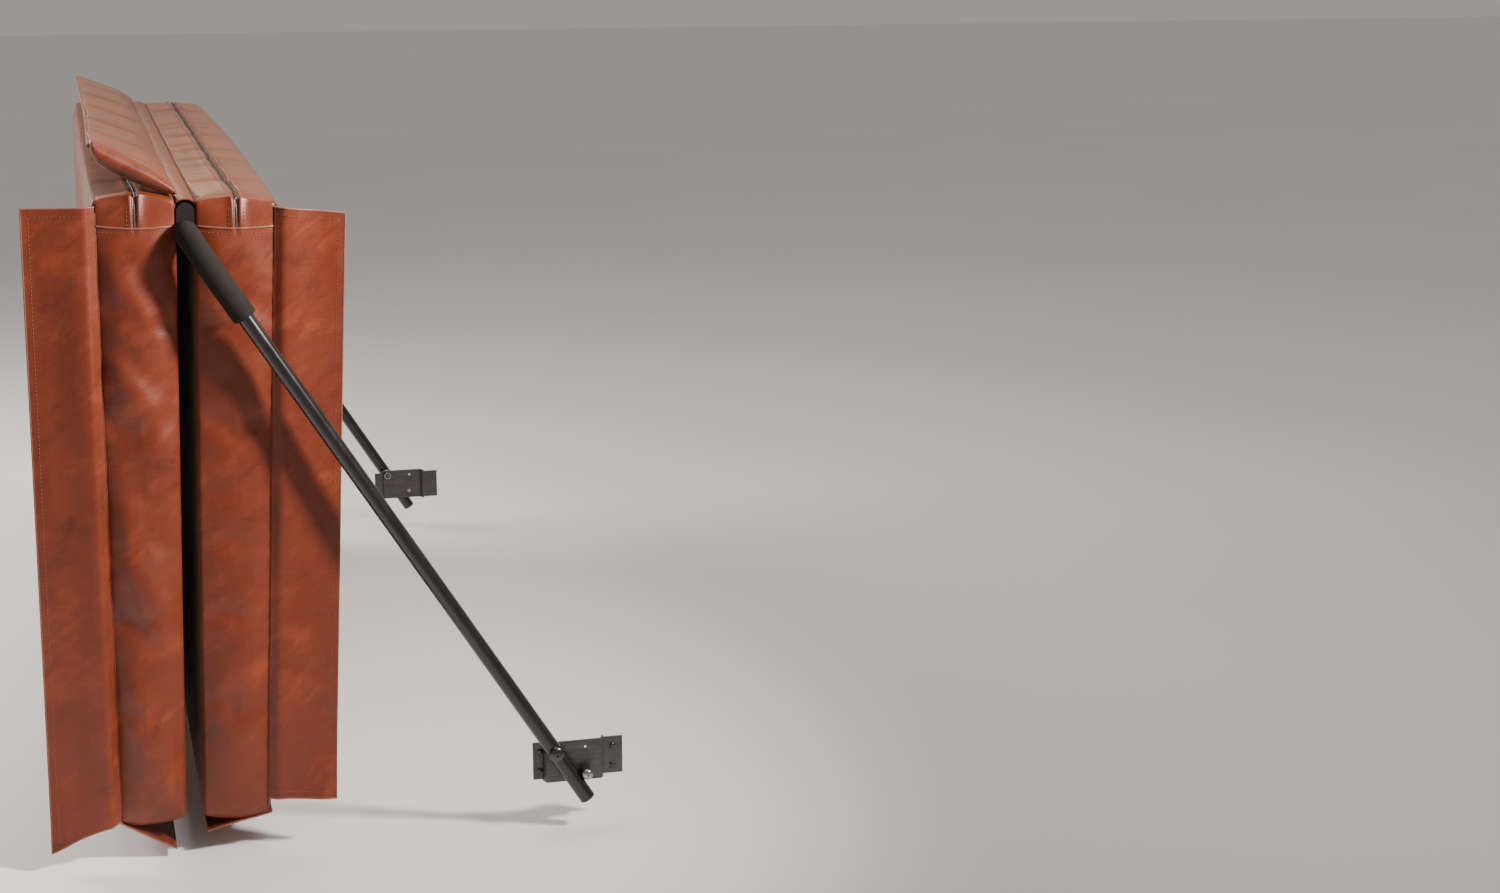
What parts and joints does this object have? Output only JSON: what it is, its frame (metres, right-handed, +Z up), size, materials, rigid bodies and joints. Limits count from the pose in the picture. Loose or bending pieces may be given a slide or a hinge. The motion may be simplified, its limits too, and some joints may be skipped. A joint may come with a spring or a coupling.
{
  "type": "spa cover",
  "caption": "Folding tapered foam spa cover in marbled brown vinyl, hanging folded over the crossbar of a side-mounted tubular cover lifter.",
  "frame": {"origin": "on the fixing face of the front bracket, midway between the two screws of its outer wing", "axes": "+X along the front of the tub, away from the parked cover; +Y from the front bracket to the rear one; +Z up"},
  "size_m": [1.0102, 2.3518, 1.214],
  "materials": {
    "vinyl": "satin",
    "foam": "matte",
    "film": "gloss",
    "galvanised": "satin",
    "black_tube": "gloss",
    "black_sheet": "satin",
    "soft_grip": "matte",
    "rubber": "matte",
    "black_plastic": "satin",
    "nylon": "satin",
    "bolt_steel": "satin"
  },
  "bodies": {
    "brackets": {"front_bracket": "black_sheet", "front_bracket_screw_1": "bolt_steel", "front_bracket_screw_2": "bolt_steel", "front_bracket_screw_3": "bolt_steel", "front_bracket_screw_4": "bolt_steel", "front_pivot_bolt": "bolt_steel", "front_pivot_nut": "bolt_steel", "front_pivot_washer": "nylon", "front_stop_bumper": "rubber", "front_stop_screw": "bolt_steel", "rear_bracket": "black_sheet", "rear_bracket_screw_1": "bolt_steel", "rear_bracket_screw_2": "bolt_steel", "rear_bracket_screw_3": "bolt_steel", "rear_bracket_screw_4": "bolt_steel", "rear_pivot_bolt": "bolt_steel", "rear_pivot_nut": "bolt_steel", "rear_pivot_washer": "nylon", "rear_stop_bumper": "rubber", "rear_stop_screw": "bolt_steel"},
    "lifter": {"crossbar_tube": "black_tube", "front_arm": "black_tube", "front_grip": "soft_grip", "front_tail_plug": "black_plastic", "rear_arm": "black_tube", "rear_grip": "soft_grip", "rear_tail_plug": "black_plastic"},
    "hinge_strip": {"crossbar_sleeve": "soft_grip", "hinge_strip": "vinyl"},
    "inner_half": {"inner_back_band": "vinyl", "inner_back_skirt": "vinyl", "inner_edge_channel": "galvanised", "inner_foam_core": "foam", "inner_fold_band_bottom": "vinyl", "inner_fold_band_top": "vinyl", "inner_front_band": "vinyl", "inner_front_skirt": "vinyl", "inner_rim_band": "vinyl", "inner_top_panel": "vinyl", "inner_underside_panel": "vinyl", "inner_vapour_wrap": "film", "inner_zipper": "black_plastic"},
    "outer_half": {"outer_back_band": "vinyl", "outer_back_skirt": "vinyl", "outer_edge_channel": "galvanised", "outer_foam_core": "foam", "outer_fold_band_bottom": "vinyl", "outer_fold_band_top": "vinyl", "outer_front_band": "vinyl", "outer_front_skirt": "vinyl", "outer_rim_band": "vinyl", "outer_top_panel": "vinyl", "outer_underside_panel": "vinyl", "outer_vapour_wrap": "film", "outer_zipper": "black_plastic"},
    "heat_seal": {"heat_seal_casing": "vinyl", "heat_seal_foam": "foam"},
    "inner_side_skirt": {"inner_side_skirt": "vinyl"},
    "outer_side_skirt": {"outer_side_skirt": "vinyl"}
  },
  "joints": [
    {"name": "lifter_swing", "type": "hinge", "parent": "brackets", "child": "lifter", "pos_m": [-0.112, 1.12, 0.0255], "axis": [0, 1, 0], "range_deg": [0, 68]},
    {"name": "cover_roll", "type": "hinge", "parent": "lifter", "child": "hinge_strip", "pos_m": [-0.71308, 1.12, 0.98001], "axis": [0, 1, 0], "range_deg": [0, 110.2]},
    {"name": "inner_fold", "type": "hinge", "parent": "hinge_strip", "child": "inner_half", "pos_m": [-0.69646, 1.12, 1.03141], "axis": [0, -1, 0], "range_deg": [0, 90]},
    {"name": "outer_fold", "type": "hinge", "parent": "hinge_strip", "child": "outer_half", "pos_m": [-0.72645, 1.12, 1.03235], "axis": [0, 1, 0], "range_deg": [0, 90]},
    {"name": "heat_seal_fold", "type": "hinge", "parent": "hinge_strip", "child": "heat_seal", "pos_m": [-0.72244, 1.12, 1.03253], "axis": [0, 1, 0], "range_deg": [0, 70]},
    {"name": "inner_skirt_turn", "type": "hinge", "parent": "inner_half", "child": "inner_side_skirt", "pos_m": [-0.61331, 1.12, -0.05704], "axis": [0, -1, 0], "range_deg": [0, 167]},
    {"name": "outer_skirt_turn", "type": "hinge", "parent": "outer_half", "child": "outer_side_skirt", "pos_m": [-0.87778, 1.12, -0.04873], "axis": [0, 1, 0], "range_deg": [0, 152]}
  ],
  "couplings": [
    {"joint": "heat_seal_fold", "follows": "outer_fold", "ratio": 0.7777}
  ]
}
